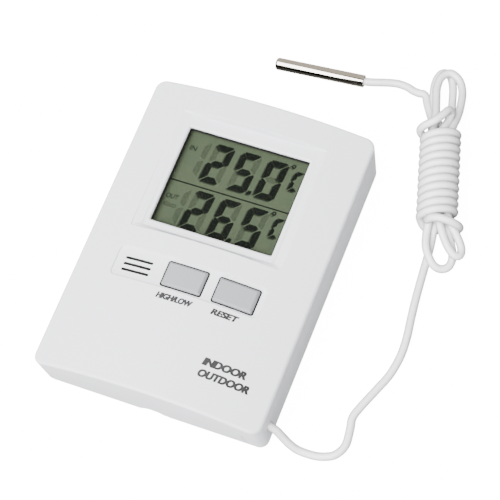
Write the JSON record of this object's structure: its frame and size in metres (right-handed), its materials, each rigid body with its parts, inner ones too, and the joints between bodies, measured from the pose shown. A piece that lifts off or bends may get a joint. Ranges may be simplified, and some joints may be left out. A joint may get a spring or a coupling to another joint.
{
  "type": "maximum minimum thermometer",
  "caption": "Indoor and outdoor digital thermometer: crowned white case lying on its back, two-row display, two push buttons, folding stand, and a steel probe on a cord tied in a hank.",
  "frame": {"origin": "under the middle of the case, on the surface that the case lies on with its display up", "axes": "+X to the right of the display, +Y towards the top of the display, +Z out of the display"},
  "size_m": [0.1058, 0.1378, 0.0231],
  "materials": {
    "white_plastic": "satin moulded white plastic with a fine texture",
    "grey_plastic": "satin light grey moulded plastic",
    "clear_plastic": "clear moulded window",
    "lcd_glass": "grey-green display glass",
    "reflector": "dull grey-green film",
    "black_rubber": "matt black rubber",
    "circuit_board": "green solder resist",
    "black_resin": "black resin",
    "steel": "plated steel",
    "polished_steel": "bright drawn steel sleeve",
    "cell_wrap": "plain printed-film wrap",
    "grey_rubber": "matt grey silicone rubber",
    "cord_sheath": "smooth white flexible cord"
  },
  "bodies": {
    "case": {"front_cover": "white_plastic", "rear_cover": "white_plastic", "lcd_frame": "white_plastic", "cord_clamp": "white_plastic", "window_lens": "clear_plastic", "lcd_front_glass": "lcd_glass", "lcd_rear_glass": "lcd_glass", "lcd_reflector": "reflector", "contact_strip_lower": "black_rubber", "contact_strip_upper": "black_rubber", "circuit_board": "circuit_board", "chip_cover": "black_resin", "indoor_sensor": "black_resin", "thermistor": "black_resin", "timing_crystal": "steel", "capacitor": "cell_wrap", "high_low_dome": "grey_rubber", "reset_dome": "grey_rubber", "battery_cell": "cell_wrap", "battery_contact_plate": "steel", "spring_plate": "steel", "battery_spring": "steel", "case_screw_1": "steel", "case_screw_2": "steel", "case_screw_3": "steel", "case_screw_4": "steel", "board_screw_1": "steel", "board_screw_2": "steel", "board_screw_3": "steel", "board_screw_4": "steel", "clamp_screw": "steel", "sensor_wire_a": "black_rubber", "sensor_wire_b": "black_rubber", "cord_lead": "cord_sheath", "cord_hank": "cord_sheath", "cord_probe_lead": "cord_sheath", "probe_sleeve": "polished_steel"},
    "high_low_button": {"high_low_button": "grey_plastic"},
    "reset_button": {"reset_button": "grey_plastic"},
    "stand": {"stand": "white_plastic"},
    "battery_door": {"battery_door": "white_plastic"}
  },
  "joints": [
    {"name": "high_low_press", "type": "slide", "parent": "case", "child": "high_low_button", "axis": [0, 0, -1], "range_m": [0, 0.0008], "stiffness_N_per_m": 900, "deforming": ["high_low_dome"]},
    {"name": "reset_press", "type": "slide", "parent": "case", "child": "reset_button", "axis": [0, 0, -1], "range_m": [0, 0.0008], "stiffness_N_per_m": 900, "deforming": ["reset_dome"]},
    {"name": "stand_fold", "type": "hinge", "parent": "case", "child": "stand", "pos_m": [0, -0.01, 0.0017], "axis": [1, 0, 0], "range_deg": [0, 55]},
    {"name": "battery_door_swing", "type": "hinge", "parent": "case", "child": "battery_door", "pos_m": [-0.025, 0.022, 0.0015], "axis": [0, 1, 0], "range_deg": [0, 80]}
  ]
}
